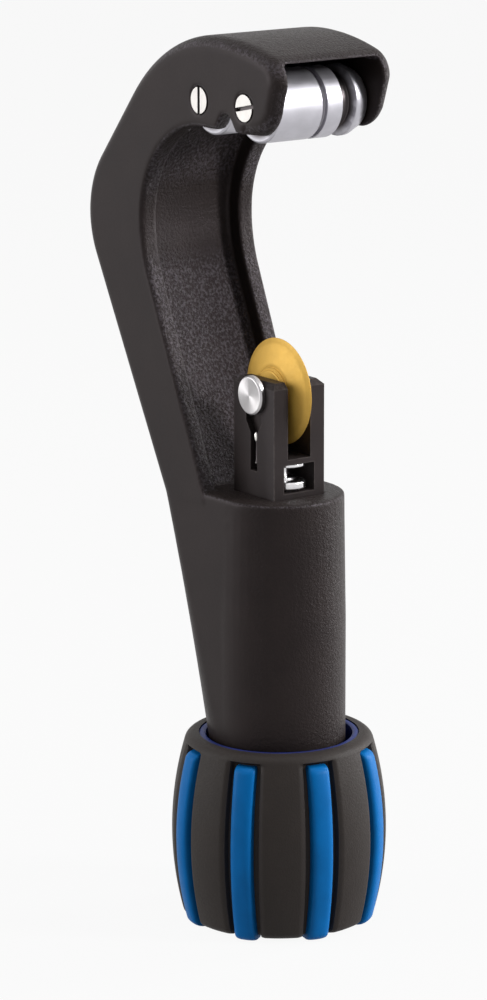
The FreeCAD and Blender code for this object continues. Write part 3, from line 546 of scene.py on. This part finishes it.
make_piece("casting", cast_copy("frame_casting", 0.42, 4), CASTING, ["frame_casting"], 180.0)
make_piece("grip", grip_mesh(), GRIP, ["knob_grip"], 34.0)
make_piece("ribs", ribs_mesh(), RIB_BLUE, ["knob_core"], 45.0)
make_piece("core", lathe(CORE_PROFILE, 128), RING_BLUE, ["knob_core"], 34.0)
make_piece("cutting_disc", wheel_mesh(), WHEEL, ["cutter_wheel"], 24.0)
for part, node, turned in (("front_pin", "roller_pin_front", 78.0),
                           ("rear_pin", "roller_pin_rear", 0.0)):
    eased(make_piece(part, turned_slot(node, turned), PIN, [node]), 0.10)
make_piece("spring_wire", wire_mesh(), WIRE, ["detent_spring_wire"], 60.0)
RING_LOW, RING_HIGH = (corner.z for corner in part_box("spindle_thrust_ring"))
CLIP_HALF, CLIP_FRONT = 3.65, 6.7
ring = clip_mesh(RING_LOW + 0.2 * MM, RING_HIGH - 0.1 * MM, CLIP_HALF, CLIP_FRONT)
eased(make_piece("spindle_ring", ring, BRIGHT, ["spindle_thrust_ring"]), 0.15)
head = clip_mesh(RING_HIGH - 5.7 * MM, RING_HIGH - 3.9 * MM, CLIP_HALF, CLIP_FRONT)
eased(make_piece("spindle_head", head, BRIGHT, ["feed_spindle"]), 0.45, 3)
for part, node, material, ease in (
        ("carriage", "carriage_block", CARRIAGE, 0.30),
        ("spindle", "feed_spindle", BRIGHT, 0.20),
        ("button", "wheel_axle_pin", BUTTON, 0.12),
        ("front_wheel", "roller_front", ROLLERS["roller_front"], 0.16),
        ("rear_wheel", "roller_rear", ROLLERS["roller_rear"], 0.16),
        ("sleeve", "threaded_sleeve", DARK, 0.15),
        ("bush", "bearing_bush", BRONZE, 0.15),
        ("washer_upper", "thrust_washer_upper", DARK, 0.10),
        ("washer_lower", "thrust_washer_lower", NYLON, 0.10),
        ("cap", "knob_end_cap", CAP, 0.30),
        ("screw", "knob_screw", DARK, 0.20),
        ("screw_washer", "knob_screw_washer", DARK, 0.15)):
    eased(make_piece(part, cad_copy(node), material, [node]), ease)


# ---------------------------------------------------------------- stage, light and camera
FLOOR_SIZE, FLOOR_DROP, FLOOR_GREY = 6.0, 0.0002, 0.40
FLOOR_GLOW = 0.93  # the share of plain white in what the camera sees of the floor
WORLD_LEVEL = 0.10
MIDDLE = (0, 0, 0.10)
CAMERA_PLACE, CAMERA_AIM = Vector((0.6481, -0.4834, 0.2810)), Vector((0, 0, 0.0908))


def backdrop_rays(tree):
    """1 for the rays that see the plain white backdrop: camera, glossy and transmission rays."""
    seen = tree.nodes.new("ShaderNodeLightPath").outputs
    total = seen["Is Camera Ray"]
    for name in ("Is Glossy Ray", "Is Transmission Ray"):
        either = tree.nodes.new("ShaderNodeMath")
        either.operation = "MAXIMUM"
        tree.links.new(total, either.inputs[0])
        tree.links.new(seen[name], either.inputs[1])
        total = either.outputs[0]
    return total


def make_stage():
    """A pale floor that is white to the camera and keeps a faint shadow."""
    bpy.ops.mesh.primitive_plane_add(size=FLOOR_SIZE, location=(0, 0, CAD_BOX[0][2] - FLOOR_DROP))
    floor = bpy.context.object
    floor.name = "floor"
    material = bpy.data.materials.new("pale_floor")
    material.use_nodes = True
    tree = material.node_tree
    shader = tree.nodes["Principled BSDF"]
    shader.inputs["Base Color"].default_value = (*[FLOOR_GREY] * 3, 1)
    shader.inputs["Roughness"].default_value = 0.9
    shader.inputs["Specular IOR Level"].default_value = 0.1
    glow = tree.nodes.new("ShaderNodeEmission")
    share = tree.nodes.new("ShaderNodeMath")
    share.operation = "MULTIPLY"
    share.inputs[1].default_value = FLOOR_GLOW
    mix = tree.nodes.new("ShaderNodeMixShader")
    tree.links.new(backdrop_rays(tree), share.inputs[0])
    tree.links.new(share.outputs[0], mix.inputs[0])
    tree.links.new(shader.outputs[0], mix.inputs[1])
    tree.links.new(glow.outputs[0], mix.inputs[2])
    tree.links.new(mix.outputs[0], tree.nodes["Material Output"].inputs["Surface"])
    floor.data.materials.append(material)


def make_world():
    """A dim, even studio light that shows as plain white behind the part."""
    world = bpy.data.worlds.new("studio")
    bpy.context.scene.world = world
    world.use_nodes = True
    tree = world.node_tree
    background = tree.nodes["Background"]
    background.inputs["Color"].default_value = (1, 1, 1, 1)
    strength = tree.nodes.new("ShaderNodeMapRange")
    strength.inputs["To Min"].default_value = WORLD_LEVEL
    strength.inputs["To Max"].default_value = 1.0
    tree.links.new(backdrop_rays(tree), strength.inputs["Value"])
    tree.links.new(strength.outputs[0], background.inputs["Strength"])


def add_lamp(name, place, aim, size, power):
    data = bpy.data.lights.new(name, "AREA")
    data.shape = "RECTANGLE"
    data.size, data.size_y = size
    data.energy = power
    lamp = bpy.data.objects.new(name, data)
    bpy.context.scene.collection.objects.link(lamp)
    lamp.location = place
    lamp.rotation_euler = (Vector(place) - Vector(aim)).to_track_quat("Z", "Y").to_euler()


def make_camera():
    data = bpy.data.cameras.new("camera")
    data.sensor_fit = "VERTICAL"
    data.sensor_height = 36.0
    data.lens = 142.8
    data.shift_x = -0.0355
    data.clip_start, data.clip_end = 0.01, 20.0
    camera = bpy.data.objects.new("camera", data)
    bpy.context.scene.collection.objects.link(camera)
    camera.location = CAMERA_PLACE
    camera.rotation_euler = (CAMERA_PLACE - CAMERA_AIM).to_track_quat("Z", "Y").to_euler()
    bpy.context.scene.camera = camera


make_stage()
make_world()
make_camera()
add_lamp("key", (-0.55, -0.85, 0.35), MIDDLE, (0.60, 0.80), 7.0)
add_lamp("right", (0.16, 0.92, 0.30), MIDDLE, (0.30, 0.70), 8.0)
add_lamp("front", (0.85, 0.70, 0.58), MIDDLE, (0.22, 0.22), 12.5)
add_lamp("top", (0.10, -0.15, 1.00), MIDDLE, (0.50, 0.50), 2.5)
bpy.context.scene.view_settings.view_transform = "Standard"
